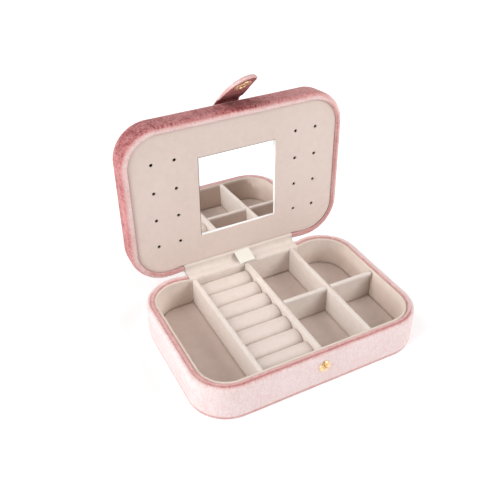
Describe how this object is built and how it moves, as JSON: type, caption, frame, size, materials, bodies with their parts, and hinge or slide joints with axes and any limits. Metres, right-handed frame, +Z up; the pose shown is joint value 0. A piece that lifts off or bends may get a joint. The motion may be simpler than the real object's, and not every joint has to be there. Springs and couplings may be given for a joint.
{
  "type": "jewelry box",
  "caption": "Velvet-covered travel jewelry box with a hinged lid, a snap flap, a mirror, earring holes, ring rolls and compartments.",
  "frame": {"origin": "centre of the base's underside", "axes": "+X to the right, +Y to the back, where the lid's fabric hinge is, +Z up; the front wall with the snap stud faces -Y"},
  "size_m": [0.16, 0.1343, 0.1631],
  "materials": {
    "velvet_pale": "velvet",
    "velvet_rose": "velvet",
    "suede": "suede cloth",
    "roll_suede": "suede cloth",
    "board": "grey card",
    "foam": "foam",
    "satin": "satin",
    "gold_metal": "polished",
    "mirror": "mirror"
  },
  "bodies": {
    "base": {"bottom_panel": "velvet_rose", "base_board": "board", "base_velvet_cover": "velvet_pale", "base_liner": "suede", "floor_foam": "foam", "floor_lining": "suede", "left_divider": "suede", "middle_divider": "suede", "right_divider": "suede", "cross_divider": "suede", "ring_roll_1": "roll_suede", "ring_roll_2": "roll_suede", "ring_roll_3": "roll_suede", "ring_roll_4": "roll_suede", "ring_roll_5": "roll_suede", "ring_roll_6": "roll_suede", "ring_roll_7": "roll_suede", "snap_stud": "gold_metal", "snap_stud_rivet": "gold_metal", "hinge_strip": "velvet_rose", "hinge_lining": "suede"},
    "lid": {"lid_board": "board", "lid_velvet_cover": "velvet_rose", "lid_top_foam": "foam", "lid_top_cover": "velvet_rose", "panel_frame": "board", "earring_panel": "suede", "mirror_glass": "mirror", "mirror_backing": "board", "ribbon_tab": "satin", "flap_root_tab": "velvet_rose"},
    "flap": {"flap_outer_velvet": "velvet_rose", "flap_core": "board", "flap_inner_velvet": "velvet_rose", "snap_cap": "gold_metal", "snap_socket": "gold_metal"}
  },
  "joints": [
    {"name": "lid_hinge", "type": "hinge", "parent": "base", "child": "lid", "pos_m": [0, 0.0563, 0.0257], "axis": [1, 0, 0], "range_deg": [0, 91], "deforming": ["hinge_strip", "hinge_lining", "ribbon_tab"]},
    {"name": "flap_hinge", "type": "hinge", "parent": "lid", "child": "flap", "pos_m": [0, 0.07439, 0.1394], "axis": [1, 0, 0], "range_deg": [-75, 35.5], "deforming": ["flap_root_tab"]}
  ]
}
